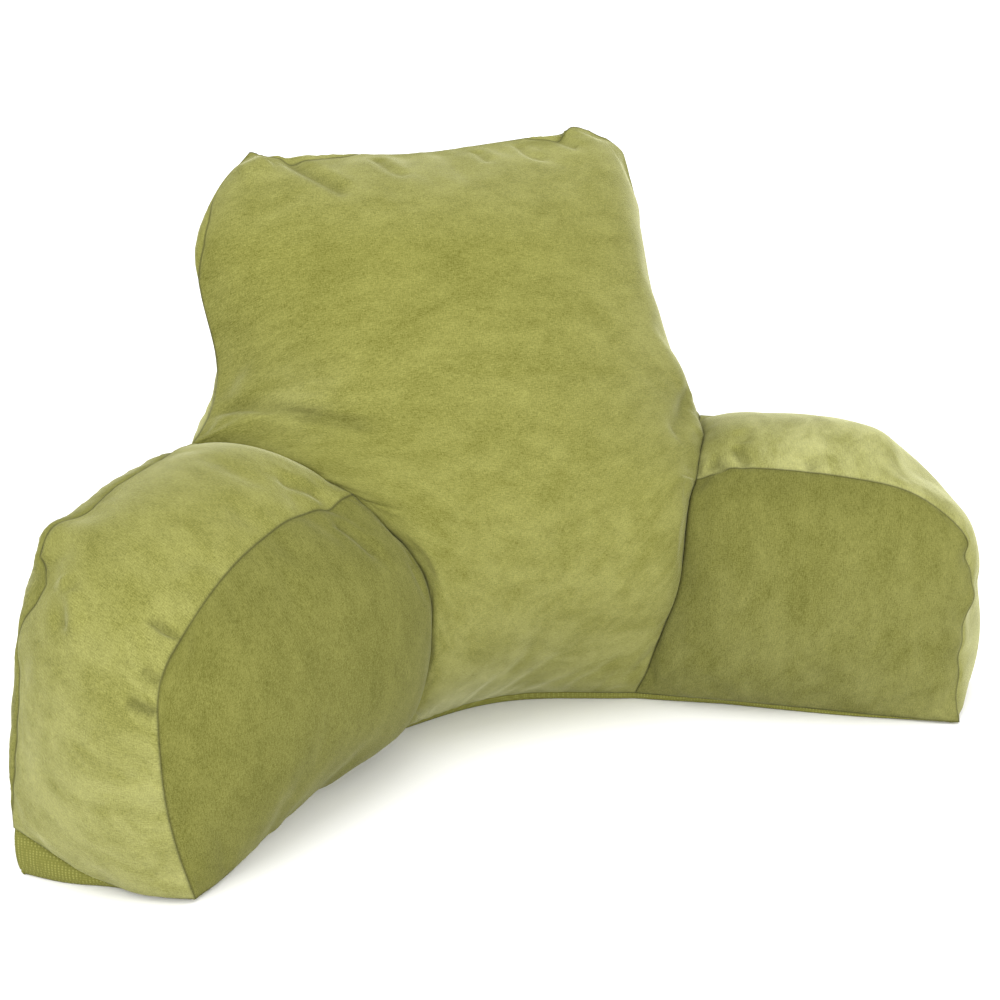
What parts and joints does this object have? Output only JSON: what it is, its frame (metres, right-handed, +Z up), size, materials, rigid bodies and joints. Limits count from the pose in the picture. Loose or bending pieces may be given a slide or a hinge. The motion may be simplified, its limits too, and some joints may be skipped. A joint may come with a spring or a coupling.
{
  "type": "reading pillow with arms",
  "caption": "Stuffed reading pillow with a leaning backrest and two short arms that swing forward round the sitter, on a flat base panel.",
  "frame": {"origin": "middle of the pillow's box, on the surface that it stands on", "axes": "+Z up, +X to the right arm as a viewer in front of the pillow sees it, -Y towards the front, where the arms point"},
  "size_m": [0.8203, 0.4186, 0.4657],
  "materials": {
    "velvet": "short velvety pile, yellow green, lighter where the pile is seen edge on",
    "base_cloth": "matt, coarser plain weave, darker green"
  },
  "bodies": {
    "root": {"backrest": "velvet", "arm_left": "velvet", "arm_right": "velvet", "base_panel": "base_cloth"}
  },
  "joints": []
}
